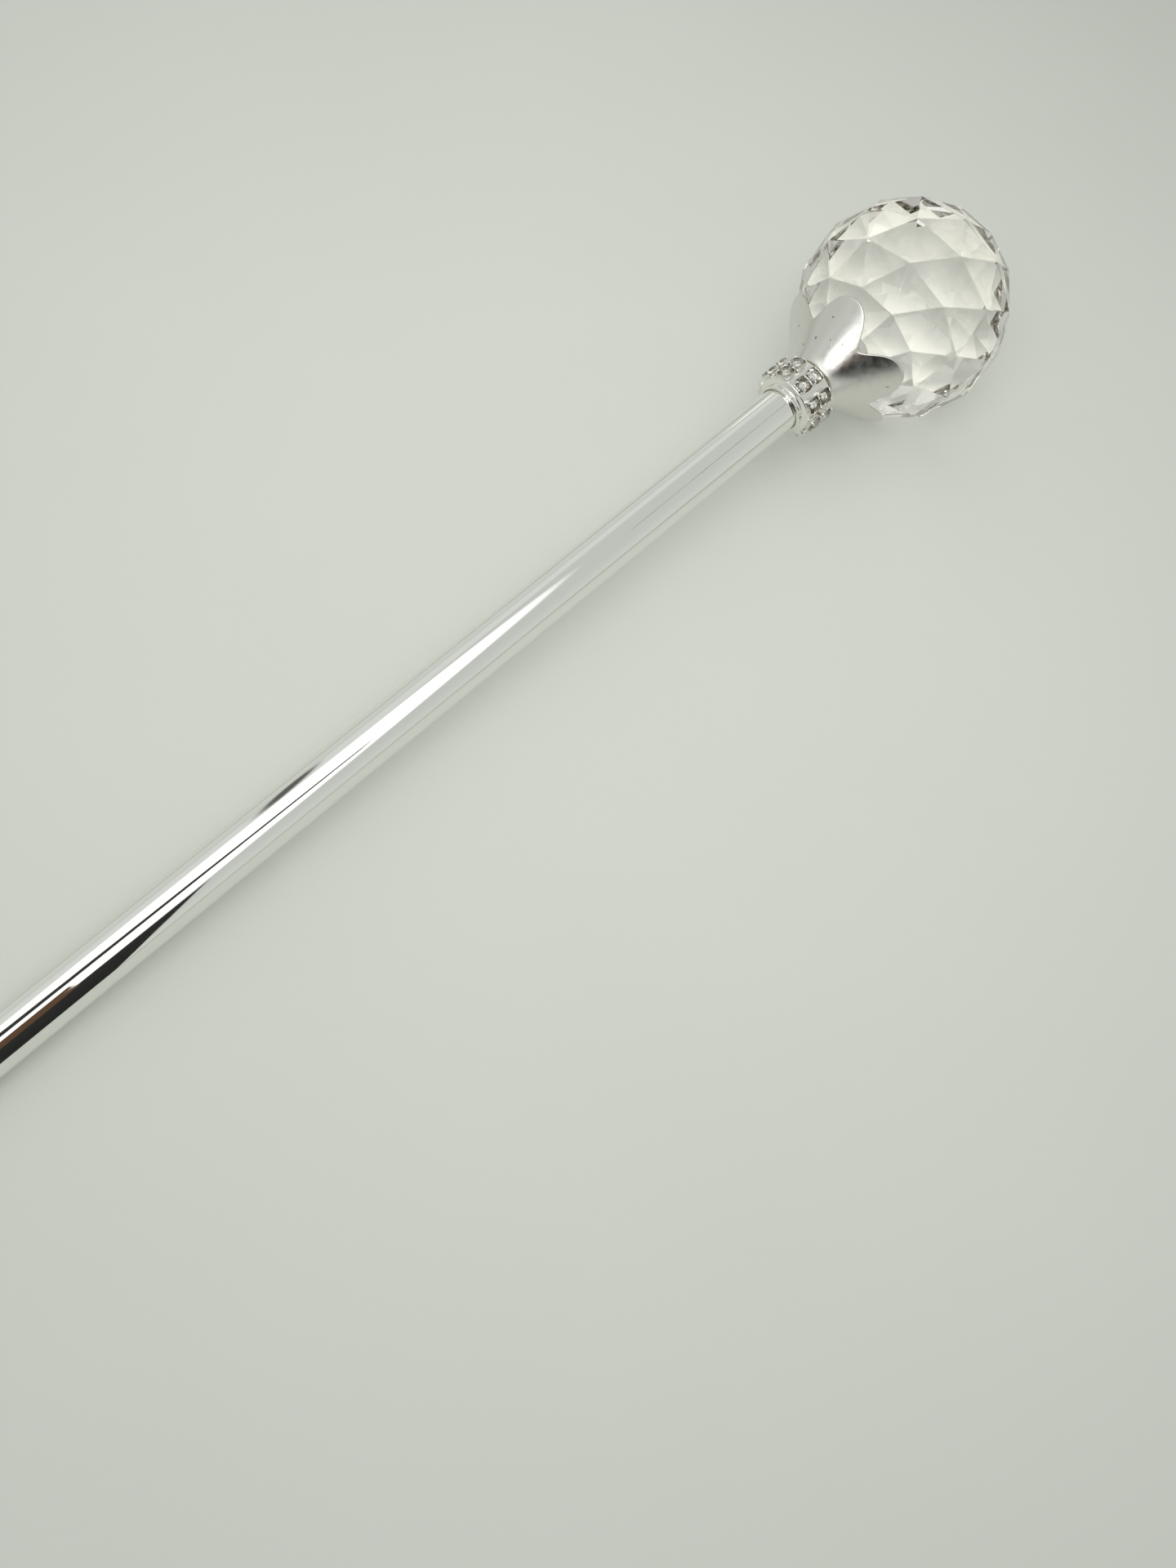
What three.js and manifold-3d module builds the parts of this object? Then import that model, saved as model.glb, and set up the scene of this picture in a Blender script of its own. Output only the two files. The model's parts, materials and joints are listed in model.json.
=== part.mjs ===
// Decorative hair pin: a clear faceted ball on a slim polished shaft, joined by a five-petal
// cap and a collar set with two rows of stones. It lies at rest on a flat surface.
//
// Millimetres, +Z up. Every piece is first drawn along the pin's own axis, with the ball's
// centre as origin and +X from the shaft to the ball:
//   along  distance from the ball's centre towards the shaft's tip, so X = -along
//   radius distance from the axis
//   turn   angle about the axis, in degrees, from straight up towards -Y
import * as THREE from "three";
import { ConvexGeometry } from "three/addons/geometries/ConvexGeometry.js";
import { mergeVertices } from "three/addons/utils/BufferGeometryUtils.js";
import Module from "manifold-3d";

// Clearance between two pieces that are glued or pressed together.
const FIT = 0.05;
const ROUND_SEGMENTS = 48;

// Crystal ball: corners on one sphere, in rings a fixed latitude apart.
const BALL_CORNER_RADIUS = 15.25;
const BALL_SIDES = 12;
const BALL_RING_STEP = 22.5;
const BALL_PLAIN_RINGS = [1, 2, 4, 6, 7];
const BALL_STAGGERED_RINGS = [3, 5];
const BALL_HOLE_RADIUS = 1.8;
const BALL_HOLE_DEPTH = 5;

// Petal cap: a thin bell that flares from its neck onto the ball.
const PETALS = 5;
const PETAL_FIRST_TURN = 58.8;
const CAP_NECK_ALONG = 20;
const CAP_NECK_RADIUS = 4;
const CAP_THICKNESS = 0.55;
const CAP_HOLE_RADIUS = 1.6;
const CAP_END_WALL = 1;
const CAP_SEGMENTS = 90;
const CAP_ROWS = 12;
// A petal tip's angle from the axis and its distance from the ball's centre.
const PETAL_TIP_ANGLE = 42.5;
const PETAL_TIP_REACH = 15.9;
// The part of the bell's curve that is left at a notch.
const NOTCH_PART = 0.53;
const PETAL_ROUNDNESS = 0.85;
// The cap was glued slightly askew: its rim is lower on one side.
const CAP_SKEW_ANGLE = 4.5;
const CAP_SKEW_TURN = 16.8;
// How the bell's curve leaves the neck and meets the tips.
const FLARE_START = { along: -6, radius: 1.5 };
const FLARE_END = { pull: 4, droop: 10 };

// Glue line between cap and collar.
const GLUE_THICKNESS = 0.2;
const GLUE_RADIUS = 3.85;

// Collar with two rows of stones.
const COLLAR_LENGTH = 6.1;
const COLLAR_RADIUS = 4.15;
const COLLAR_BEVEL = 0.25;
const COLLAR_FLANGE_LENGTH = 1.2;
const COLLAR_LIP_RADIUS = 3.5;
const COLLAR_LIP_LENGTH = 0.5;
const TUBE_SEAT_DEPTH = 0.3;
const STONE_COLUMNS = 9;
const STONE_FIRST_TURN = 10.8;
const STONE_ROWS = { ball_side: 21.85, shaft_side: 24.05 };
const STONE_RADIUS = 1.03;
const STONE_GIRDLE_REACH = 4.75;
const STONE_CROWN = 0.36;
const STONE_PAVILION = 0.85;
const STONE_GIRDLE = 0.12;
const STONE_TABLE_RADIUS = 0.6;
const STONE_CULET_RADIUS = 0.25;
const STONE_SIDES = 8;
const SEAT_CLEARANCE = 0.06;
const SEAT_CUP_RADIUS = 0.95;
const SEAT_CUP_REACH = 4.35;
const PRONG_RADIUS = 0.2;
const PRONG_END_RADIUS = 0.12;
const PRONG_REACH = 5;
// Cups and prongs grow out of the band from this far below its surface.
const ROOT_DEPTH = 0.3;

// Shaft: a tube with a tapered solid tip.
const TUBE_RADIUS = 3;
const TUBE_BORE_RADIUS = 2.3;
const TUBE_LENGTH = 137.4;
const TIP_LENGTH = 32;
const TIP_END_RADIUS = 0.9;
const TIP_TAPER_POWER = 1.8;
const TIP_SPIGOT_LENGTH = 12;

// Hidden fasteners.
const PLUG_LENGTH = 10;
const STUD_RADIUS = 1.5;
const STUD_LENGTH = 19;
const CHAMFER = 0.3;

const COLLAR_START = CAP_NECK_ALONG + GLUE_THICKNESS + 2 * FIT;
const COLLAR_END = COLLAR_START + COLLAR_LENGTH;
const TUBE_START = COLLAR_START + TUBE_SEAT_DEPTH;
const TUBE_END = TUBE_START + TUBE_LENGTH;

const crystal = new THREE.MeshStandardMaterial({
  color: 0xe3eae6,
  metalness: 0,
  roughness: 0.03,
  transparent: true,
  opacity: 0.45,
});
const satinSilver = new THREE.MeshStandardMaterial({ color: 0xc4c6bd, metalness: 1, roughness: 0.28 });
const polishedSteel = new THREE.MeshStandardMaterial({ color: 0xd4d6d1, metalness: 1, roughness: 0.06 });
const agedGlue = new THREE.MeshStandardMaterial({ color: 0xa98a4a, metalness: 0, roughness: 0.4 });
const brass = new THREE.MeshStandardMaterial({ color: 0xb8964f, metalness: 1, roughness: 0.35 });
const plainSteel = new THREE.MeshStandardMaterial({ color: 0x8d8f90, metalness: 1, roughness: 0.4 });

const wasm = await Module();
wasm.setup();

const radians = THREE.MathUtils.degToRad;

function place(along, radius, turn) {
  const angle = radians(turn);
  return new THREE.Vector3(-along, -radius * Math.sin(angle), radius * Math.cos(angle));
}

function toSolid(geometry) {
  const bare = geometry.clone();
  bare.deleteAttribute("normal");
  bare.deleteAttribute("uv");
  const merged = mergeVertices(bare, 1e-4);
  return new wasm.Manifold(
    new wasm.Mesh({
      numProp: 3,
      vertProperties: merged.attributes.position.array,
      triVerts: new Uint32Array(merged.index.array),
    }),
  );
}

function toGeometry(solid) {
  const mesh = solid.getMesh();
  const geometry = new THREE.BufferGeometry();
  geometry.setAttribute("position", new THREE.BufferAttribute(mesh.vertProperties, 3));
  geometry.setIndex(new THREE.BufferAttribute(mesh.triVerts, 1));
  geometry.computeVertexNormals();
  return geometry;
}

// A solid of revolution about the pin's axis. The profile is a list of [along, radius] that
// runs from the tip towards the ball on its outside.
function spun(profile, segments = ROUND_SEGMENTS) {
  const points = profile.map(([along, radius]) => new THREE.Vector2(radius, -along));
  return new THREE.LatheGeometry(points, segments).rotateZ(-Math.PI / 2);
}

// Turns a geometry whose own axis is +Y so that it stands out from the pin's axis.
function standOut(object, along, reach, turn) {
  const foot = place(along, reach, turn);
  const outward = place(0, 1, turn);
  object.position.copy(foot);
  object.quaternion.setFromUnitVectors(new THREE.Vector3(0, 1, 0), outward);
  return object;
}

function standOutSolid(geometry, along, reach, turn) {
  const holder = standOut(new THREE.Object3D(), along, reach, turn);
  holder.updateMatrix();
  return toSolid(geometry.clone().applyMatrix4(holder.matrix));
}

function part(name, geometry, material) {
  const mesh = new THREE.Mesh(geometry, material);
  mesh.name = name;
  return mesh;
}

function ringOfCorners(ring, firstTurn) {
  const latitude = radians(ring * BALL_RING_STEP);
  const along = BALL_CORNER_RADIUS * Math.cos(latitude);
  const radius = BALL_CORNER_RADIUS * Math.sin(latitude);
  const pitch = 360 / BALL_SIDES;
  return Array.from({ length: BALL_SIDES }, (_, i) => place(along, radius, firstTurn + i * pitch));
}

function crystalBall() {
  const halfPitch = 180 / BALL_SIDES;
  const corners = [
    ...BALL_PLAIN_RINGS.flatMap((ring) => ringOfCorners(ring, halfPitch)),
    ...BALL_STAGGERED_RINGS.flatMap((ring) => ringOfCorners(ring, 0)),
  ];
  const flatAlong = BALL_CORNER_RADIUS * Math.cos(radians(BALL_RING_STEP));
  const hole = spun([
    [flatAlong + 1, 0],
    [flatAlong + 1, BALL_HOLE_RADIUS],
    [flatAlong - BALL_HOLE_DEPTH, BALL_HOLE_RADIUS],
    [flatAlong - BALL_HOLE_DEPTH, 0],
  ], 24);
  const solid = toSolid(new ConvexGeometry(corners)).subtract(toSolid(hole));
  return part("crystal_ball", toGeometry(solid), crystal);
}

// 0 in a notch between two petals, 1 on a petal's centre line.
function petalness(turn) {
  const wave = (1 + Math.cos(radians(PETALS * (turn - PETAL_FIRST_TURN)))) / 2;
  return wave ** PETAL_ROUNDNESS;
}

// The cap's outer surface, from the neck (v = 0) to the rim (v = 1). Every line down it follows
// one Hermite curve that ends at a petal's tip; a notch only stops sooner along the curve.
function capSurface(turn, v) {
  const skew = CAP_SKEW_ANGLE * Math.cos(radians(turn - CAP_SKEW_TURN));
  const tip = radians(PETAL_TIP_ANGLE - skew);
  const heading = tip + radians(FLARE_END.droop);
  const t = v * THREE.MathUtils.lerp(NOTCH_PART, 1, petalness(turn));
  const start = 2 * t ** 3 - 3 * t ** 2 + 1;
  const startPull = t ** 3 - 2 * t ** 2 + t;
  const end = 1 - start;
  const endPull = t ** 3 - t ** 2;
  const along =
    start * CAP_NECK_ALONG +
    startPull * FLARE_START.along +
    end * PETAL_TIP_REACH * Math.cos(tip) -
    endPull * FLARE_END.pull * Math.sin(heading);
  const radius =
    start * CAP_NECK_RADIUS +
    startPull * FLARE_START.radius +
    end * PETAL_TIP_REACH * Math.sin(tip) +
    endPull * FLARE_END.pull * Math.cos(heading);
  return place(along, radius, turn);
}

// The same surface moved inwards by the sheet's thickness.
function capInside(turn, v) {
  const step = 0.01;
  const here = capSurface(turn, v);
  const acrossV = capSurface(turn, v + step).sub(here);
  const acrossTurn = capSurface(turn + step, v).sub(here);
  const outward = acrossTurn.cross(acrossV).normalize();
  return here.addScaledVector(outward, -CAP_THICKNESS);
}

function petalCap() {
  const wallRow = 2;
  const loops = [];
  for (let i = 0; i < CAP_SEGMENTS; i++) {
    const turn = (i * 360) / CAP_SEGMENTS;
    const loop = [place(CAP_NECK_ALONG, CAP_HOLE_RADIUS, turn)];
    for (let row = 0; row <= CAP_ROWS; row++) loop.push(capSurface(turn, row / CAP_ROWS));
    for (let row = CAP_ROWS; row >= wallRow; row--) loop.push(capInside(turn, row / CAP_ROWS));
    loop.push(place(CAP_NECK_ALONG - CAP_END_WALL, CAP_HOLE_RADIUS, turn));
    loops.push(loop);
  }
  const size = loops[0].length;
  const index = [];
  for (let i = 0; i < CAP_SEGMENTS; i++) {
    const next = (i + 1) % CAP_SEGMENTS;
    for (let k = 0; k < size; k++) {
      const up = (k + 1) % size;
      index.push(i * size + k, next * size + k, i * size + up);
      index.push(next * size + up, i * size + up, next * size + k);
    }
  }
  const geometry = new THREE.BufferGeometry().setFromPoints(loops.flat());
  geometry.setIndex(index);
  geometry.computeVertexNormals();
  return part("petal_cap", geometry, satinSilver);
}

function glueLine() {
  const start = CAP_NECK_ALONG + FIT;
  const end = start + GLUE_THICKNESS;
  const inner = CAP_HOLE_RADIUS;
  const profile = [
    [end, inner],
    [end, GLUE_RADIUS],
    [start, GLUE_RADIUS],
    [start, inner],
    [end, inner],
  ];
  return part("glue_line", spun(profile), agedGlue);
}

// A cut stone about its own +Y axis, with its girdle at height 0. Grown by a margin, it is
// also the tool that cuts its seat.
function stoneGeometry(margin) {
  const girdle = STONE_RADIUS + margin;
  const bottom = -STONE_PAVILION - margin;
  const profile = [
    [0, bottom],
    [STONE_CULET_RADIUS + margin, bottom],
    [girdle, -STONE_GIRDLE / 2],
    [girdle, STONE_GIRDLE / 2],
    [STONE_TABLE_RADIUS, STONE_CROWN],
    [0, STONE_CROWN],
  ];
  const points = profile.map(([radius, height]) => new THREE.Vector2(radius, height));
  return new THREE.LatheGeometry(points, STONE_SIDES);
}

function stoneTurn(column) {
  return STONE_FIRST_TURN + (column * 360) / STONE_COLUMNS;
}

// Prongs stand at the four corners of each stone; the middle pair holds both stones.
function prongPlaces() {
  const sideways = (STONE_RADIUS + SEAT_CLEARANCE + PRONG_RADIUS) * Math.SQRT1_2;
  const lean = THREE.MathUtils.radToDeg(sideways / STONE_GIRDLE_REACH);
  const { ball_side: near, shaft_side: far } = STONE_ROWS;
  const rows = [near - sideways, (near + far) / 2, far + sideways];
  const places = [];
  for (let column = 0; column < STONE_COLUMNS; column++) {
    for (const along of rows) {
      places.push([along, stoneTurn(column) - lean], [along, stoneTurn(column) + lean]);
    }
  }
  return places;
}

function stoneCollar() {
  const bore = TUBE_RADIUS + FIT;
  const lipRound = 0.15;
  const lipStart = COLLAR_END - COLLAR_LIP_LENGTH;
  const profile = [
    [COLLAR_END, bore],
    [COLLAR_END, COLLAR_LIP_RADIUS - lipRound],
    [COLLAR_END - lipRound, COLLAR_LIP_RADIUS],
    [lipStart, COLLAR_LIP_RADIUS],
    [lipStart - lipRound, COLLAR_LIP_RADIUS - lipRound],
    [COLLAR_END - COLLAR_FLANGE_LENGTH, COLLAR_RADIUS],
    [COLLAR_START + COLLAR_BEVEL, COLLAR_RADIUS],
    [COLLAR_START, COLLAR_RADIUS - COLLAR_BEVEL],
    [COLLAR_START, bore],
    [COLLAR_END, bore],
  ];
  const rootReach = COLLAR_RADIUS - ROOT_DEPTH;
  const cupHeight = SEAT_CUP_REACH - rootReach;
  const cup = new THREE.CylinderGeometry(SEAT_CUP_RADIUS, SEAT_CUP_RADIUS, cupHeight, 16);
  const prongHeight = PRONG_REACH - rootReach;
  const prong = new THREE.CylinderGeometry(PRONG_END_RADIUS, PRONG_RADIUS, prongHeight, 8);
  const seat = stoneGeometry(SEAT_CLEARANCE);

  let solid = toSolid(spun(profile));
  for (let column = 0; column < STONE_COLUMNS; column++) {
    for (const along of Object.values(STONE_ROWS)) {
      const turn = stoneTurn(column);
      solid = solid.add(standOutSolid(cup, along, rootReach + cupHeight / 2, turn));
      solid = solid.subtract(standOutSolid(seat, along, STONE_GIRDLE_REACH, turn));
    }
  }
  for (const [along, turn] of prongPlaces()) {
    solid = solid.add(standOutSolid(prong, along, rootReach + prongHeight / 2, turn));
  }
  return part("stone_collar", toGeometry(solid), satinSilver);
}

function stones() {
  const geometry = stoneGeometry(0);
  const all = [];
  for (const [row, along] of Object.entries(STONE_ROWS)) {
    for (let column = 0; column < STONE_COLUMNS; column++) {
      const stone = part(`stone_${row}_${column + 1}`, geometry, crystal);
      all.push(standOut(stone, along, STONE_GIRDLE_REACH, stoneTurn(column)));
    }
  }
  return all;
}

function shaftTube() {
  const profile = [
    [TUBE_END, TUBE_BORE_RADIUS],
    [TUBE_END, TUBE_RADIUS],
    [TUBE_START, TUBE_RADIUS],
    [TUBE_START, TUBE_BORE_RADIUS],
    [TUBE_END, TUBE_BORE_RADIUS],
  ];
  return part("shaft_tube", spun(profile), polishedSteel);
}

// The tip's outside, from its rounded end to the shoulder that meets the tube.
function tipOutline() {
  const shoulder = TUBE_END + FIT;
  const end = shoulder + TIP_LENGTH;
  const arcSteps = 4;
  const taperSteps = 8;
  const outline = [];
  for (let i = 0; i < arcSteps; i++) {
    const angle = (i / arcSteps) * (Math.PI / 2);
    const along = end - TIP_END_RADIUS * (1 - Math.cos(angle));
    outline.push([along, TIP_END_RADIUS * Math.sin(angle)]);
  }
  const taperLength = TIP_LENGTH - TIP_END_RADIUS;
  for (let i = taperSteps; i >= 0; i--) {
    const t = i / taperSteps;
    const radius = TUBE_RADIUS - (TUBE_RADIUS - TIP_END_RADIUS) * t ** TIP_TAPER_POWER;
    outline.push([shoulder + t * taperLength, radius]);
  }
  return outline;
}

function shaftTip() {
  const spigot = TUBE_BORE_RADIUS - FIT;
  const shoulder = TUBE_END + FIT;
  const spigotEnd = shoulder - TIP_SPIGOT_LENGTH;
  const profile = [
    ...tipOutline(),
    [shoulder, spigot],
    [spigotEnd + CHAMFER, spigot],
    [spigotEnd, spigot - CHAMFER],
    [spigotEnd, 0],
  ];
  return part("shaft_tip", spun(profile), polishedSteel);
}

function tubePlug() {
  const outer = TUBE_BORE_RADIUS - FIT;
  const inner = STUD_RADIUS + FIT;
  const end = TUBE_START + PLUG_LENGTH;
  const profile = [
    [end, inner],
    [end, outer - CHAMFER],
    [end - CHAMFER, outer],
    [TUBE_START, outer],
    [TUBE_START, inner],
    [end, inner],
  ];
  return part("tube_plug", spun(profile), brass);
}

function ballStud() {
  const start = BALL_CORNER_RADIUS * Math.cos(radians(BALL_RING_STEP)) - BALL_HOLE_DEPTH + 2 * FIT;
  const end = start + STUD_LENGTH;
  const profile = [
    [end, 0],
    [end, STUD_RADIUS - CHAMFER],
    [end - CHAMFER, STUD_RADIUS],
    [start + CHAMFER, STUD_RADIUS],
    [start, STUD_RADIUS - CHAMFER],
    [start, 0],
  ];
  return part("ball_stud", spun(profile, 24), plainSteel);
}

const pin = new THREE.Group();
pin.add(crystalBall(), petalCap(), glueLine(), stoneCollar(), ...stones());
pin.add(shaftTube(), shaftTip(), tubePlug(), ballStud());

// At rest the ball stands on one edge of its widest ring and the shaft slopes down until the
// tip touches the surface.
const restingEdge = BALL_CORNER_RADIUS * Math.cos(radians(180 / BALL_SIDES));
const slopes = tipOutline().map(([along, radius]) => (restingEdge - radius) / along);
pin.rotation.y = -Math.atan(Math.min(...slopes));

// The origin is under the middle of the pin's length, on the surface.
const hairPin = new THREE.Group();
hairPin.add(pin);
const box = new THREE.Box3().setFromObject(hairPin, true);
pin.position.set(-(box.min.x + box.max.x) / 2, -(box.min.y + box.max.y) / 2, -box.min.z);

export default hairPin;
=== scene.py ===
"""A decorative hair pin lying on a pale table: a faceted crystal ball in a petal cap, a collar of
small cut stones, and a long polished shaft.

Metres in Blender. Every piece is drawn in the pin's own frame, in millimetres, as in the CAD:
the ball's centre is the origin and +X runs from the shaft to the ball.
  along   distance from the ball's centre towards the shaft's tip
  radius  distance from the pin's axis
  turn    angle about the axis, in degrees, from straight up towards -Y
"""

import json
import math

import bmesh
import bpy
from mathutils import Euler, Matrix, Vector


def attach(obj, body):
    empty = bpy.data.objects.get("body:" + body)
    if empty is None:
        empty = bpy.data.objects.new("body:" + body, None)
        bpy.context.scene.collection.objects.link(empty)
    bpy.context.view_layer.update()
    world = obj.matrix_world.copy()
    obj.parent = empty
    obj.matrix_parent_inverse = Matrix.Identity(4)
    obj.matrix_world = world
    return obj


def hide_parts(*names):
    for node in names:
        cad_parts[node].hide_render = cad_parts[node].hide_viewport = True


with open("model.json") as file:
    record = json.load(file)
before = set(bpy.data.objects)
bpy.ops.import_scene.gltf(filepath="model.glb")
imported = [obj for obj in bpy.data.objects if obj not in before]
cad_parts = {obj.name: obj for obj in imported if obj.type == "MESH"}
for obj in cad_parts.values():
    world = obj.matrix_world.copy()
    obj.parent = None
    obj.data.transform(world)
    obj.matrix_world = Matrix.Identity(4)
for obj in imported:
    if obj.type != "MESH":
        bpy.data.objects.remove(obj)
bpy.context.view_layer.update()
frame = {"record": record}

MM = 0.001
BODY = "root"

# The same driving dimensions as the CAD, in millimetres.
BALL_CORNER_RADIUS = 15.25
BALL_SIDES = 12
BALL_RING_STEP = 22.5
BALL_RINGS = [(1, 15), (2, 15), (3, 0), (4, 15), (5, 0), (6, 15), (7, 15)]
BALL_EDGE_WIDTH = 0.05
BALL_HOLE_RADIUS = 1.8
BALL_HOLE_DEPTH = 5
BALL_HOLE_DRILL_POINT = 0.6
PETALS = 5
PETAL_FIRST_TURN = 58.8
CAP_NECK_ALONG = 20
CAP_NECK_RADIUS = 4
CAP_SHEET = 0.4
CAP_HOLE_RADIUS = 1.6
CAP_SHOULDER_ROUNDING = 0.25
# Parts of the way down a petal: where the rounded shoulder ends and where the rim starts.
CAP_SHOULDER_END = 0.05
CAP_RIM_START = 0.985
PETAL_TIP_ANGLE = 42.5
PETAL_TIP_REACH = 15.9
NOTCH_PART = 0.53
PETAL_ROUNDNESS = 0.85
CAP_SKEW_ANGLE = 4.5
CAP_SKEW_TURN = 16.8
FLARE_START = (6, 1.5)
FLARE_PULL = 4
FLARE_DROOP = 10
COLLAR_START = 20.3
COLLAR_END = 26.4
COLLAR_RADIUS = 4.15
COLLAR_LIP_RADIUS = 3.5
STONE_COLUMNS = 9
STONE_FIRST_TURN = 10.8
STONE_ROWS = {"ball_side": 21.85, "shaft_side": 24.05}
STONE_RADIUS = 1.03
STONE_GIRDLE_REACH = 4.75
STONE_CROWN = 0.36
STONE_PAVILION = 0.85
TUBE_START = 20.6
TUBE_END = 158
TUBE_RADIUS = 3
TUBE_BORE_RADIUS = 2.3
TIP_LENGTH = 32
TIP_END_RADIUS = 0.9
TIP_TAPER_POWER = 1.8
TIP_SPIGOT_LENGTH = 12
PLUG_LENGTH = 10
STUD_RADIUS = 1.5
STUD_LENGTH = 19
FIT = 0.05

# The pin's frame, from the mount on the ball's free end.
mount = frame["record"]["mounts"][0]
AXIS = Vector(mount["axis"]).normalized()
SIDE = Vector((0, 1, 0))
FLAT_REACH = BALL_CORNER_RADIUS * math.cos(math.radians(BALL_RING_STEP))
BALL_CENTRE = Vector(mount["pos_m"]) - AXIS * FLAT_REACH * MM
PIN = Matrix.Translation(BALL_CENTRE) @ Matrix((AXIS, SIDE, AXIS.cross(SIDE))).transposed().to_4x4()


def place(along, radius, turn):
    angle = math.radians(turn)
    return Vector((-along, -radius * math.sin(angle), radius * math.cos(angle))) * MM


# ---------------------------------------------------------------- node helpers


def add_node(tree, kind, inputs=None, **settings):
    made = tree.nodes.new(kind)
    for name, value in settings.items():
        setattr(made, name, value)
    for key, value in (inputs or {}).items():
        if isinstance(value, bpy.types.NodeSocket):
            tree.links.new(value, made.inputs[key])
        else:
            made.inputs[key].default_value = value
    return made


def calc(tree, operation, *values, clamp=False):
    inputs = dict(enumerate(values))
    return add_node(tree, "ShaderNodeMath", inputs, operation=operation, use_clamp=clamp).outputs[0]


def mix_colour(tree, factor, first, second):
    inputs = {0: factor, 6: first, 7: second}
    return add_node(tree, "ShaderNodeMix", inputs, data_type="RGBA").outputs[2]


def grade(tree, value, low, high, to_low=0.0, to_high=1.0):
    inputs = {0: value, 1: low, 2: high, 3: to_low, 4: to_high}
    made = add_node(tree, "ShaderNodeMapRange", inputs, interpolation_type="SMOOTHSTEP")
    return made.outputs[0]


def noise(tree, vector, scale, detail=2.0, roughness=0.5):
    inputs = {"Vector": vector, "Scale": scale, "Detail": detail, "Roughness": roughness}
    return add_node(tree, "ShaderNodeTexNoise", inputs).outputs[0]


def millimetres(tree, stretch=(1, 1, 1)):
    """Object coordinates in millimetres along the pin's own axes."""
    coordinates = add_node(tree, "ShaderNodeTexCoord").outputs["Object"]
    scale = tuple(1000 * s for s in stretch)
    return add_node(tree, "ShaderNodeMapping", {"Vector": coordinates, "Scale": scale}).outputs[0]


def bump(tree, height, distance, strength=1.0):
    inputs = {"Height": height, "Distance": distance, "Strength": strength}
    return add_node(tree, "ShaderNodeBump", inputs).outputs[0]


def new_material(name):
    material = bpy.data.materials.new(name)
    material.use_nodes = True
    material.node_tree.nodes.clear()
    return material, material.node_tree


def output(tree, surface):
    add_node(tree, "ShaderNodeOutputMaterial", {"Surface": surface})


def principled(tree, inputs):
    return add_node(tree, "ShaderNodeBsdfPrincipled", inputs).outputs[0]


# ---------------------------------------------------------------- materials


def glass_material(name, colour, ior):
    """Clear polished glass with the faintest smudges."""
    material, tree = new_material(name)
    smudge = noise(tree, millimetres(tree), 0.35, 3)
    roughness = grade(tree, smudge, 0.6, 0.8, 0.0, 0.008)
    inputs = {"Color": colour, "Roughness": roughness, "IOR": ior}
    output(tree, add_node(tree, "ShaderNodeBsdfGlass", inputs).outputs[0])
    return material


def satin_silver():
    """Silver plate over a stamping: a soft sheen, a fine orange-peel surface and sparse pits."""
    material, tree = new_material("satin_silver_plate")
    where = millimetres(tree)
    peel = noise(tree, where, 5, 4, 0.7)
    cells = add_node(tree, "ShaderNodeTexVoronoi", {"Vector": where, "Scale": 0.7})
    keep = grade(tree, noise(tree, where, 0.5), 0.5, 0.56)
    pit = calc(tree, "MULTIPLY", grade(tree, cells.outputs["Distance"], 0.1, 0.16, 1.0, 0.0), keep)
    height = calc(tree, "SUBTRACT", calc(tree, "MULTIPLY", peel, 0.5), pit)
    colour = mix_colour(tree, pit, (0.73, 0.72, 0.685, 1), (0.3, 0.28, 0.24, 1))
    roughness = grade(tree, noise(tree, where, 1.2, 2), 0.3, 0.7, 0.14, 0.26)
    inputs = {
        "Base Color": colour,
        "Metallic": 1.0,
        "Roughness": roughness,
        "Normal": bump(tree, height, 0.00003, 1.0),
    }
    output(tree, principled(tree, inputs))
    return material


def polished_metal(name, colour, low, high):
    """Mirror-polished metal with faint lengthwise polishing lines."""
    material, tree = new_material(name)
    lines = noise(tree, millimetres(tree, (0.02, 1, 1)), 2.5, 3, 0.6)
    wave = noise(tree, millimetres(tree, (0.05, 0.35, 0.35)), 1, 1)
    roughness = grade(tree, lines, 0.35, 0.75, low, high)
    height = calc(tree, "MULTIPLY_ADD", lines, 0.1, wave)
    inputs = {
        "Base Color": colour,
        "Metallic": 1.0,
        "Roughness": roughness,
        "Normal": bump(tree, height, 0.00002, 0.5),
    }
    output(tree, principled(tree, inputs))
    return material


def turned_metal(name, colour):
    """Plain turned metal with fine rings round its axis."""
    material, tree = new_material(name)
    rings = noise(tree, millimetres(tree, (6, 0.2, 0.2)), 1, 2)
    inputs = {
        "Base Color": colour,
        "Metallic": 1.0,
        "Roughness": grade(tree, rings, 0.3, 0.7, 0.25, 0.45),
        "Normal": bump(tree, rings, 0.00002, 0.6),
    }
    output(tree, principled(tree, inputs))
    return material


def glue_material():
    """Aged clear glue: amber, glossy, a little cloudy."""
    material, tree = new_material("aged_glue")
    cloud = noise(tree, millimetres(tree), 1.5, 3)
    colour = mix_colour(tree, cloud, (0.36, 0.22, 0.06, 1), (0.62, 0.5, 0.24, 1))
    inputs = {"Base Color": colour, "Roughness": 0.3, "Transmission Weight": 0.3, "IOR": 1.48}
    output(tree, principled(tree, inputs))
    return material


def stone_foil():
    """The mirror foil behind a cut stone, darker in patches where it has dulled."""
    material, tree = new_material("stone_foil")
    patch = grade(tree, noise(tree, millimetres(tree), 0.9, 2), 0.4, 0.6)
    colour = mix_colour(tree, patch, (0.7, 0.69, 0.65, 1), (0.2, 0.17, 0.12, 1))
    output(tree, principled(tree, {"Base Color": colour, "Metallic": 1.0, "Roughness": 0.06}))
    return material


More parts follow.
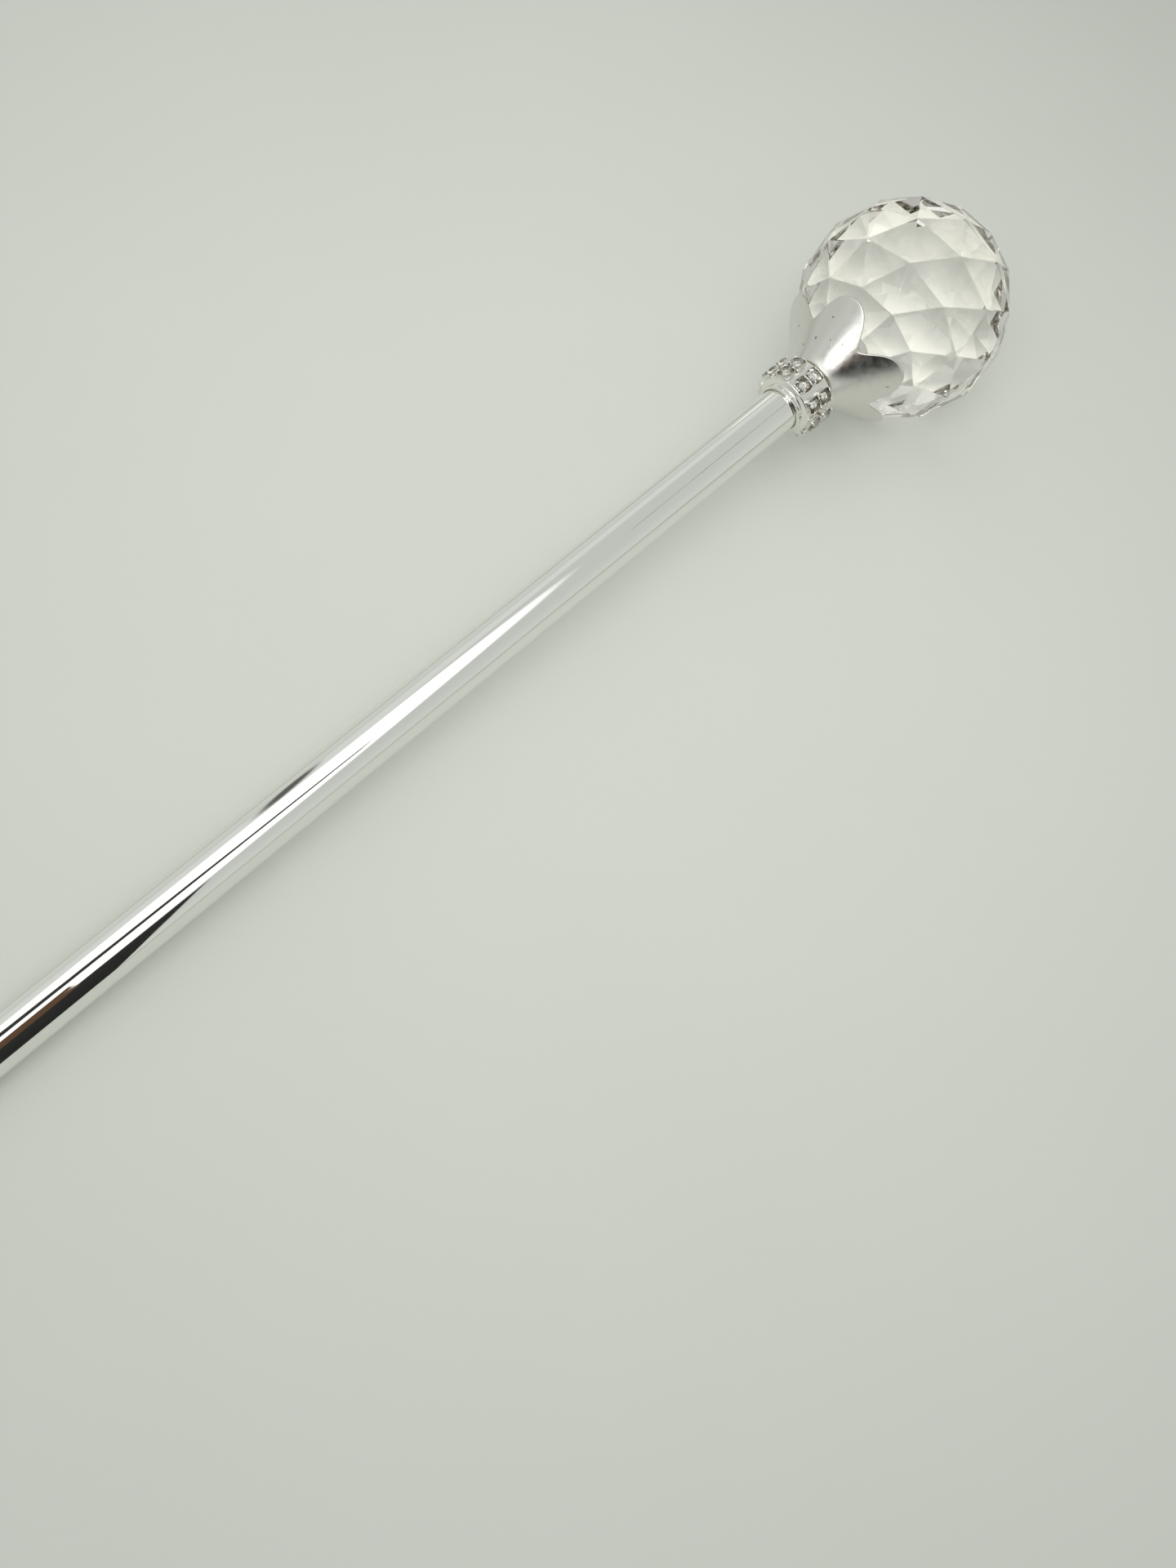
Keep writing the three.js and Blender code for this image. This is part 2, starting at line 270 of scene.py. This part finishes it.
crystal = glass_material("clear_crystal", (0.935, 0.927, 0.917, 1), 1.52)
stone_glass = glass_material("clear_stone", (1, 1, 1, 1), 1.56)
foil = stone_foil()
silver = satin_silver()
bright_silver = polished_metal("bright_silver_plate", (0.84, 0.83, 0.79, 1), 0.05, 0.12)
steel = polished_metal("polished_steel", (0.875, 0.88, 0.845, 1), 0.02, 0.06)
brass = turned_metal("turned_brass", (0.72, 0.55, 0.28, 1))
plain_steel = turned_metal("turned_steel", (0.5, 0.51, 0.52, 1))
glue = glue_material()


# ---------------------------------------------------------------- mesh helpers


def add_piece(name, mesh, nodes, materials, smooth_angle=None):
    """A finished piece: shading, material, and the CAD nodes it stands for."""
    for material in materials:
        mesh.materials.append(material)
    if smooth_angle is not None:
        mesh.polygons.foreach_set("use_smooth", [True] * len(mesh.polygons))
        mesh.set_sharp_from_angle(angle=math.radians(smooth_angle))
    piece = bpy.data.objects.new(name, mesh)
    bpy.context.scene.collection.objects.link(piece)
    piece.matrix_world = PIN
    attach(piece, BODY)
    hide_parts(*nodes)


def finish_mesh(bm, name):
    bmesh.ops.recalc_face_normals(bm, faces=bm.faces)
    mesh = bpy.data.meshes.new(name)
    bm.to_mesh(mesh)
    bm.free()
    return mesh


def filleted(profile, radius, steps=5):
    """The profile, a list of [along, radius] points, with each inner corner rounded."""
    points = [Vector(p) for p in profile]
    rounded = [points[0]]
    for before, corner, after in zip(points, points[1:], points[2:]):
        reach = min(radius, (before - corner).length / 2.01, (after - corner).length / 2.01)
        start = corner + (before - corner).normalized() * reach
        end = corner + (after - corner).normalized() * reach
        for i in range(steps + 1):
            t = i / steps
            rounded.append(start * (1 - t) ** 2 + corner * 2 * t * (1 - t) + end * t**2)
    rounded.append(points[-1])
    return rounded


def spun_mesh(name, profile, segments):
    """A closed solid of revolution. The profile ends on the axis or closes on itself."""
    bm = bmesh.new()
    closes = (Vector(profile[0]) - Vector(profile[-1])).length < 1e-9
    rings = []
    for along, radius in profile[: -1 if closes else None]:
        if radius < 1e-9:
            rings.append([bm.verts.new(place(along, 0, 0))])
        else:
            turns = [360 * i / segments for i in range(segments)]
            rings.append([bm.verts.new(place(along, radius, turn)) for turn in turns])
    pairs = list(zip(rings, rings[1:]))
    if closes:
        pairs.append((rings[-1], rings[0]))
    for first, second in pairs:
        for i in range(segments):
            k = (i + 1) % segments
            if len(first) == 1:
                bm.faces.new((first[0], second[i], second[k]))
            elif len(second) == 1:
                bm.faces.new((first[i], second[0], first[k]))
            else:
                bm.faces.new((first[i], second[i], second[k], first[k]))
    return finish_mesh(bm, name)


# ---------------------------------------------------------------- crystal ball


def crystal_ball():
    """Rings of corners on one sphere, joined by their hull, with narrow polished edges and a
    drilled hole under the cap."""
    bm = bmesh.new()
    for ring, first_turn in BALL_RINGS:
        latitude = math.radians(ring * BALL_RING_STEP)
        along = BALL_CORNER_RADIUS * math.cos(latitude)
        radius = BALL_CORNER_RADIUS * math.sin(latitude)
        for i in range(BALL_SIDES):
            bm.verts.new(place(along, radius, first_turn + i * 360 / BALL_SIDES))
    bmesh.ops.convex_hull(bm, input=bm.verts)
    bmesh.ops.dissolve_limit(bm, angle_limit=math.radians(1), verts=bm.verts, edges=bm.edges)
    width = BALL_EDGE_WIDTH * MM
    bmesh.ops.bevel(bm, geom=bm.edges[:], offset=width, segments=1, affect="EDGES", profile=0.5)
    # The hole is drilled through the flat under the cap.
    flat = min(bm.faces, key=lambda face: face.calc_center_median().x)
    rim = [loop.vert for loop in flat.loops]
    bm.faces.remove(flat)
    steps = 48
    turns = [360 * i / steps for i in range(steps)]
    depths = [(FLAT_REACH, BALL_HOLE_RADIUS), (FLAT_REACH - BALL_HOLE_DEPTH, BALL_HOLE_RADIUS)]
    rings = [[bm.verts.new(place(a, r, turn)) for turn in turns] for a, r in depths]
    for first, second in zip(rings[0], rings[0][1:] + rings[0][:1]):
        bm.edges.new((first, second))
    rim_edges = [e for e in bm.edges if e.is_boundary and e.verts[0] in rim and e.verts[1] in rim]
    hole_edges = [e for e in bm.edges if not e.link_faces]
    bmesh.ops.bridge_loops(bm, edges=rim_edges + hole_edges)
    for i in range(steps):
        k = (i + 1) % steps
        bm.faces.new((rings[0][i], rings[1][i], rings[1][k], rings[0][k]))
    drill_end = bm.verts.new(place(FLAT_REACH - BALL_HOLE_DEPTH - BALL_HOLE_DRILL_POINT, 0, 0))
    for i in range(steps):
        bm.faces.new((rings[1][i], drill_end, rings[1][(i + 1) % steps]))
    return finish_mesh(bm, "crystal_ball")


# ---------------------------------------------------------------- petal cap


def petalness(turn):
    """0 in a notch between two petals, 1 on a petal's centre line."""
    wave = (1 + math.cos(math.radians(PETALS * (turn - PETAL_FIRST_TURN)))) / 2
    return wave**PETAL_ROUNDNESS


def cap_surface(turn, v):
    """The cap's outer surface, from the neck (v = 0) to the rim (v = 1). Every line down it
    follows one Hermite curve that ends at a petal's tip; a notch only stops sooner."""
    skew = CAP_SKEW_ANGLE * math.cos(math.radians(turn - CAP_SKEW_TURN))
    tip = math.radians(PETAL_TIP_ANGLE - skew)
    heading = tip + math.radians(FLARE_DROOP)
    t = v * (NOTCH_PART + (1 - NOTCH_PART) * petalness(turn))
    start = 2 * t**3 - 3 * t**2 + 1
    start_pull = t**3 - 2 * t**2 + t
    end = 1 - start
    end_pull = t**3 - t**2
    along = (
        start * CAP_NECK_ALONG
        - start_pull * FLARE_START[0]
        + end * PETAL_TIP_REACH * math.cos(tip)
        - end_pull * FLARE_PULL * math.sin(heading)
    )
    radius = (
        start * CAP_NECK_RADIUS
        + start_pull * FLARE_START[1]
        + end * PETAL_TIP_REACH * math.sin(tip)
        + end_pull * FLARE_PULL * math.cos(heading)
    )
    return place(along, radius, turn)


def cap_frame(turn, v):
    """Point, outward direction and down-the-petal direction on the cap's outer surface."""
    step = 0.004
    here = cap_surface(turn, v)
    down = cap_surface(turn, v + step) - cap_surface(turn, v - step)
    around = cap_surface(turn + 0.2, v) - cap_surface(turn - 0.2, v)
    outward = around.cross(down).normalized()
    return here, outward, down.normalized()


def petal_cap():
    """A stamped bell of thin sheet with five petals and a rounded rim."""
    segments = 300
    rows = 44
    first_inner_row = 4
    rim_steps = 5
    shoulder_steps = 4
    run = CAP_RIM_START - CAP_SHOULDER_END
    loops = []
    for i in range(segments):
        turn = 360 * i / segments
        corner = cap_surface(turn, 0)
        shoulder = place(CAP_NECK_ALONG, CAP_NECK_RADIUS - CAP_SHOULDER_ROUNDING, turn)
        below = cap_surface(turn, CAP_SHOULDER_END)
        loop = [place(CAP_NECK_ALONG, CAP_HOLE_RADIUS, turn)]
        for k in range(shoulder_steps + 1):
            t = k / shoulder_steps
            loop.append(shoulder * (1 - t) ** 2 + corner * 2 * t * (1 - t) + below * t**2)
        for row in range(1, rows + 1):
            loop.append(cap_surface(turn, CAP_SHOULDER_END + run * row / rows))
        here, outward, down = cap_frame(turn, CAP_RIM_START)
        middle = here - outward * CAP_SHEET / 2 * MM
        for k in range(1, rim_steps):
            angle = math.pi * k / rim_steps
            around_rim = outward * math.cos(angle) + down * math.sin(angle)
            loop.append(middle + around_rim * CAP_SHEET / 2 * MM)
        for row in range(rows, first_inner_row - 1, -1):
            here, outward, _ = cap_frame(turn, CAP_SHOULDER_END + run * row / rows)
            loop.append(here - outward * CAP_SHEET * MM)
        loop.append(place(CAP_NECK_ALONG - 1, CAP_HOLE_RADIUS, turn))
        loops.append(loop)
    bm = bmesh.new()
    grid = [[bm.verts.new(point) for point in loop] for loop in loops]
    size = len(grid[0])
    for i in range(segments):
        following = grid[(i + 1) % segments]
        for k in range(size):
            up = (k + 1) % size
            bm.faces.new((grid[i][k], following[k], following[up], grid[i][up]))
    return finish_mesh(bm, "petal_cap")


# ---------------------------------------------------------------- collar


def stone_turn(column):
    return STONE_FIRST_TURN + column * 360 / STONE_COLUMNS


def stand_out(along, turn):
    """A frame on the pin's axis at that place: x along the shaft, y round it, z outwards."""
    outward = place(0, 1, turn).normalized()
    shaftward = Vector((-1, 0, 0))
    around = outward.cross(shaftward)
    rotation = Matrix((shaftward, around, outward)).transposed().to_4x4()
    return Matrix.Translation(place(along, 0, turn)) @ rotation


def collar_band():
    bore = TUBE_RADIUS + FIT
    profile = [
        [COLLAR_START, bore],
        [COLLAR_START, COLLAR_RADIUS - 0.02],
        [COLLAR_START + 0.4, COLLAR_RADIUS],
        [COLLAR_END - 1.15, COLLAR_RADIUS],
        [COLLAR_END - 0.85, 3.46],
        [COLLAR_END - 0.4, 3.42],
        [COLLAR_END - 0.36, COLLAR_LIP_RADIUS],
        [COLLAR_END, COLLAR_LIP_RADIUS],
        [COLLAR_END, bore],
        [COLLAR_START, bore],
    ]
    return spun_mesh("collar_band", filleted(profile, 0.14), 160)


def loft(bm, sections):
    """Joins closed loops of points, one after the other, and caps both ends."""
    rings = [[bm.verts.new(point) for point in section] for section in sections]
    count = len(rings[0])
    for first, second in zip(rings, rings[1:]):
        for i in range(count):
            k = (i + 1) % count
            bm.faces.new((first[i], first[k], second[k], second[i]))
    bm.faces.new(rings[0])
    bm.faces.new(rings[-1])


def squircle(half, power=4, steps=24):
    points = []
    for i in range(steps):
        angle = 2 * math.pi * i / steps
        c, s = math.cos(angle), math.sin(angle)
        reach = half / (abs(c) ** power + abs(s) ** power) ** (1 / power)
        points.append((reach * c, reach * s))
    return points


def setting_cup(bm, frame_matrix):
    """A thin square cup: outside up from the band, over the rim, and down inside."""
    # Half width and distance from the pin's axis.
    outside = [(0.78, 3.9), (0.98, 4.3), (1.12, 4.66)]
    over_the_rim = [(1.1, 4.72), (1.02, 4.68)]
    inside = [(0.82, 4.3), (0.5, 4.05)]
    sections = []
    for half, reach in outside + over_the_rim + inside:
        ring = [frame_matrix @ (Vector((x, y, reach)) * MM) for x, y in squircle(half)]
        sections.append(ring)
    loft(bm, sections)


def claw(bm, frame_matrix, angle):
    """A claw at a corner of the cup that bends in over the stone's edge."""
    direction = Vector((math.cos(angle), math.sin(angle), 0))
    side = Vector((-direction.y, direction.x, 0))
    # Along the claw: distance from the cup's centre line and from the pin's axis.
    path = [(1.0, 4.1), (1.16, 4.45), (1.2, 4.8), (1.12, 5.0), (0.96, 5.08), (0.82, 5.06)]
    widths = [0.22, 0.2, 0.18, 0.16, 0.14, 0.08]
    thickness = [0.16, 0.14, 0.12, 0.11, 0.09, 0.05]
    corners = 10
    sections = []
    for i, (out, reach) in enumerate(path):
        before = path[max(i - 1, 0)]
        after = path[min(i + 1, len(path) - 1)]
        run = Vector((after[0] - before[0], after[1] - before[1])).normalized()
        across = direction * run.y - Vector((0, 0, 1)) * run.x
        middle = direction * out + Vector((0, 0, reach))
        ring = []
        for k in range(corners):
            t = 2 * math.pi * k / corners
            offset = side * widths[i] * math.cos(t) + across * thickness[i] * math.sin(t)
            ring.append(frame_matrix @ ((middle + offset) * MM))
        sections.append(ring)
    loft(bm, sections)


def collar_settings():
    bm = bmesh.new()
    for along in STONE_ROWS.values():
        for column in range(STONE_COLUMNS):
            frame_matrix = stand_out(along, stone_turn(column))
            setting_cup(bm, frame_matrix)
            for corner in range(4):
                claw(bm, frame_matrix, math.pi / 4 + corner * math.pi / 2)
    return finish_mesh(bm, "collar_settings")


def cut_stone(name, frame_matrix):
    """A small brilliant: table, star and kite facets on the crown, a pointed foiled back."""
    bm = bmesh.new()
    # Corners, radius, height over the girdle's middle, and turn as a part of one corner's step.
    rings = [
        (8, 0.56, STONE_CROWN, 0.0),
        (8, 0.86, 0.19, 0.5),
        (16, STONE_RADIUS, 0.03, 0.0),
        (16, STONE_RADIUS, -0.05, 0.0),
        (8, 0.55, -0.5, 0.0),
    ]
    for count, radius, height, shift in rings:
        for i in range(count):
            angle = 2 * math.pi * (i + shift) / count
            point = Vector((radius * math.cos(angle), radius * math.sin(angle), height))
            bm.verts.new(point * MM)
    bm.verts.new(Vector((0, 0, -STONE_PAVILION)) * MM)
    bmesh.ops.convex_hull(bm, input=bm.verts)
    bmesh.ops.dissolve_limit(bm, angle_limit=math.radians(0.5), verts=bm.verts, edges=bm.edges)
    lift = Matrix.Translation(Vector((0, 0, STONE_GIRDLE_REACH)) * MM)
    foil_below = -0.06
    for face in bm.faces:
        if face.calc_center_median().z < foil_below * MM:
            face.material_index = 1
    bmesh.ops.transform(bm, matrix=frame_matrix @ lift, verts=bm.verts)
    return finish_mesh(bm, name)


# ---------------------------------------------------------------- shaft and hidden parts


def tip_outline():
    """From the tip's round end to the shoulder that meets the tube."""
    round_steps = 10
    taper_steps = 48
    shoulder = TUBE_END + FIT
    end = shoulder + TIP_LENGTH
    outline = []
    for i in range(round_steps):
        angle = i / round_steps * math.pi / 2
        along = end - TIP_END_RADIUS * (1 - math.cos(angle))
        outline.append([along, TIP_END_RADIUS * math.sin(angle)])
    taper = TIP_LENGTH - TIP_END_RADIUS
    for i in range(taper_steps, -1, -1):
        t = i / taper_steps
        radius = TUBE_RADIUS - (TUBE_RADIUS - TIP_END_RADIUS) * t**TIP_TAPER_POWER
        outline.append([shoulder + t * taper, radius])
    return outline


def shaft_tip():
    shoulder = TUBE_END + FIT
    spigot = TUBE_BORE_RADIUS - FIT
    back = shoulder - TIP_SPIGOT_LENGTH
    profile = tip_outline() + [
        [shoulder, spigot],
        [back + 0.3, spigot],
        [back, spigot - 0.3],
        [back, 0],
    ]
    return spun_mesh("shaft_tip", profile, 128)


def shaft_tube():
    stations = 60
    length = TUBE_END - TUBE_START
    edge = 0.08
    profile = [[TUBE_END, TUBE_BORE_RADIUS], [TUBE_END, TUBE_RADIUS - edge]]
    for i in range(stations + 1):
        profile.append([TUBE_END - edge - (length - 2 * edge) * i / stations, TUBE_RADIUS])
    profile += [[TUBE_START, TUBE_RADIUS - edge], [TUBE_START, TUBE_BORE_RADIUS]]
    profile.append(profile[0])
    return spun_mesh("shaft_tube", profile, 160)


def glue_line():
    start = CAP_NECK_ALONG + FIT
    end = start + 0.2
    outer = 3.85
    inner = CAP_HOLE_RADIUS
    profile = [[start, inner], [start, outer], [end, outer], [end, inner], [start, inner]]
    return spun_mesh("glue_line", filleted(profile, 0.06), 96)


def tube_plug():
    outer = TUBE_BORE_RADIUS - FIT
    inner = STUD_RADIUS + FIT
    end = TUBE_START + PLUG_LENGTH
    start = TUBE_START
    profile = [[start, inner], [start, outer], [end, outer], [end, inner], [start, inner]]
    return spun_mesh("tube_plug", filleted(profile, 0.2), 64)


def ball_stud():
    """A threaded stud, drawn as fine rings."""
    start = FLAT_REACH - BALL_HOLE_DEPTH + 2 * FIT
    pitch = 0.5
    turns = int(STUD_LENGTH / pitch)
    groove = 0.25
    end_chamfer = 0.3
    profile = [[start, 0], [start, STUD_RADIUS - end_chamfer]]
    for i in range(turns):
        profile.append([start + (i + 0.25) * pitch, STUD_RADIUS])
        profile.append([start + (i + 0.75) * pitch, STUD_RADIUS - groove])
    end = start + STUD_LENGTH
    profile += [[end, STUD_RADIUS - end_chamfer], [end, 0]]
    return spun_mesh("ball_stud", profile, 64)


def build_pin():
    add_piece("crystal_ball", crystal_ball(), ["crystal_ball"], [crystal])
    add_piece("petal_cap", petal_cap(), ["petal_cap"], [silver], 60)
    add_piece("collar_band", collar_band(), ["stone_collar"], [bright_silver], 40)
    add_piece("collar_settings", collar_settings(), ["stone_collar"], [bright_silver], 50)
    for row, along in STONE_ROWS.items():
        for column in range(STONE_COLUMNS):
            name = f"stone_{row}_{column + 1}"
            mesh = cut_stone(name, stand_out(along, stone_turn(column)))
            add_piece(f"cut_{name}", mesh, [name], [stone_glass, foil])
    add_piece("glue_line", glue_line(), ["glue_line"], [glue], 40)
    add_piece("shaft_tube", shaft_tube(), ["shaft_tube"], [steel], 30)
    add_piece("shaft_tip", shaft_tip(), ["shaft_tip"], [steel], 30)
    add_piece("tube_plug", tube_plug(), ["tube_plug"], [brass], 40)
    add_piece("ball_stud", ball_stud(), ["ball_stud"], [plain_steel], 40)


# ---------------------------------------------------------------- table, light and camera


def make_floor():
    material, tree = new_material("pale_table")
    where = millimetres(tree)
    grain = noise(tree, where, 0.02, 4, 0.55)
    colour = mix_colour(tree, grain, (0.68, 0.698, 0.652, 1), (0.712, 0.73, 0.684, 1))
    # Painted shade: the table's colour darkens gently away from the middle of the picture, standing in
    # for the light's falloff and the lens's vignetting.
    middle = (30, 10, 0)
    inputs = {0: where, 1: middle}
    distance = add_node(tree, "ShaderNodeVectorMath", inputs, operation="DISTANCE").outputs["Value"]
    painted_falloff = grade(tree, distance, 10, 260, 0.0, 0.36)
    # Painted shade: the table's colour is mixed towards near black with distance from that middle.
    colour = mix_colour(tree, painted_falloff, colour, (0.03, 0.02, 0, 1))
    inputs = {"Base Color": colour, "Roughness": 0.8, "Specular IOR Level": 0.0}
    output(tree, principled(tree, inputs))
    half = 3
    mesh = bpy.data.meshes.new("table")
    corners = [(-half, -half, 0), (half, -half, 0), (half, half, 0), (-half, half, 0)]
    mesh.from_pydata(corners, [], [(0, 1, 2, 3)])
    mesh.materials.append(material)
    floor = bpy.data.objects.new("table", mesh)
    bpy.context.scene.collection.objects.link(floor)


def window(tree, direction, azimuth, elevation, half_width, half_height, soft):
    """1 inside a soft-edged ellipse of the surroundings, 0 outside."""
    az, el = math.radians(azimuth), math.radians(elevation)
    ahead = Vector((math.cos(az) * math.cos(el), math.sin(az) * math.cos(el), math.sin(el)))
    right = Vector((math.sin(az), -math.cos(az), 0))
    above = right.cross(ahead)

    def dot(axis):
        inputs = {0: direction, 1: axis}
        return add_node(tree, "ShaderNodeVectorMath", inputs, operation="DOT_PRODUCT").outputs["Value"]

    depth = calc(tree, "MAXIMUM", dot(ahead), 0.001)
    squares = []
    for axis, half in ((right, half_width), (above, half_height)):
        off = calc(tree, "DIVIDE", dot(axis), depth)
        share = calc(tree, "DIVIDE", off, math.tan(math.radians(half)))
        squares.append(calc(tree, "MULTIPLY", share, share))
    distance = calc(tree, "SQRT", calc(tree, "ADD", *squares))
    inside = grade(tree, distance, 1 - soft, 1 + soft, 1.0, 0.0)
    return calc(tree, "MULTIPLY", inside, grade(tree, dot(ahead), 0.0, 0.05))


def make_world():
    world = bpy.data.worlds.new("studio")
    world.use_nodes = True
    tree = world.node_tree
    tree.nodes.clear()
    direction = add_node(tree, "ShaderNodeTexCoord").outputs["Generated"]
    height = add_node(tree, "ShaderNodeSeparateXYZ", {0: direction}).outputs[2]
    low = (0.66, 0.675, 0.64, 1)
    high = (0.59, 0.61, 0.585, 1)
    colour = mix_colour(tree, grade(tree, height, 0.0, 0.8), low, high)
    # Azimuth, elevation, half width and half height in degrees, softness, colour. The fourth is
    # the lamp: the ball focuses it on the table, and the facets show that bright patch.
    cards = [
        (95, 45, 45, 14, 0.3, (0.72, 0.74, 0.71, 1)),
        (180, 87, 37, 22, 0.08, (1.25, 1.26, 1.25, 1)),
        (82, 38, 1.5, 13, 0.4, (0.12, 0.12, 0.11, 1)),
        (188, 50, 17, 12, 0.3, (4.2, 4.2, 4.1, 1)),
        (56, 16, 1.5, 1.2, 0.3, (2, 1.9, 1.75, 1)),
        (41, 3, 6, 2.5, 0.3, (0.03, 0.03, 0.03, 1)),
    ]
    for azimuth, elevation, half_width, half_height, soft, card in cards:
        mask = window(tree, direction, azimuth, elevation, half_width, half_height, soft)
        colour = mix_colour(tree, mask, colour, card)
    backdrop = (0.66, 0.69, 0.65, 1)
    seen = add_node(tree, "ShaderNodeLightPath").outputs["Is Camera Ray"]
    colour = mix_colour(tree, seen, colour, backdrop)
    background = add_node(tree, "ShaderNodeBackground", {"Color": colour, "Strength": 1.0})
    add_node(tree, "ShaderNodeOutputWorld", {"Surface": background.outputs[0]})
    bpy.context.scene.world = world


def dark_card(name, corners, colour):
    """Something dark beyond the picture, seen only in reflections. Corners are in millimetres
    from the point on the table under the ball."""
    material, tree = new_material(name)
    cloud = noise(tree, add_node(tree, "ShaderNodeTexCoord").outputs["Object"], 9, 2)
    lighter = [channel * 1.8 for channel in colour]
    shade = mix_colour(tree, cloud, (*colour, 1), (*lighter, 1))
    output(tree, principled(tree, {"Base Color": shade, "Roughness": 0.8}))
    mesh = bpy.data.meshes.new(name)
    foot = Vector((BALL_CENTRE.x, 0, 0))
    mesh.from_pydata([foot + Vector(corner) * MM for corner in corners], [], [(0, 1, 2, 3)])
    mesh.materials.append(material)
    card = bpy.data.objects.new(name, mesh)
    bpy.context.scene.collection.objects.link(card)
    card.visible_camera = False
    card.visible_diffuse = False
    card.visible_transmission = False
    card.visible_shadow = False


def make_photographer():
    """What the polished metal mirrors: dark clothes, and a phone, a hand and a strap over the pin."""
    clothes = [(-141, -200, 0), (-119, -200, 238), (-460, -100, 430), (-460, -100, 0)]
    phone = [(-78, -39, 140), (-82, -45, 140), (-272, 38, 140), (-248, 82, 140)]
    hand = [(-165, -60, 190), (-165, -160, 190), (-300, -160, 190), (-300, -40, 190)]
    strap = [(60, -36, 140), (60, -39, 140), (0, -46, 140), (0, -43, 140)]
    dark_card("dark_clothes", clothes, (0.012, 0.012, 0.013))
    dark_card("phone", phone, (0.04, 0.04, 0.04))
    dark_card("hand", hand, (0.16, 0.08, 0.045))
    dark_card("strap", strap, (0.06, 0.06, 0.06))


def make_camera():
    data = bpy.data.cameras.new("camera")
    data.sensor_fit = "AUTO"
    data.sensor_width = 36
    data.lens = 30.94
    data.clip_start = 0.01
    camera = bpy.data.objects.new("camera", data)
    bpy.context.scene.collection.objects.link(camera)
    from_ball = Vector((-146.18, -46.10, 142.68))
    degrees = (22.146, -10.282, -44.709)
    camera.location = BALL_CENTRE + from_ball * MM
    camera.rotation_euler = Euler([math.radians(angle) for angle in degrees])
    bpy.context.scene.camera = camera


build_pin()
make_floor()
make_world()
make_photographer()
make_camera()

scene = bpy.context.scene
scene.view_settings.view_transform = "Standard"
scene.cycles.max_bounces = 40
scene.cycles.transmission_bounces = 40
scene.cycles.glossy_bounces = 24
scene.cycles.transparent_max_bounces = 16
scene.cycles.blur_glossy = 0
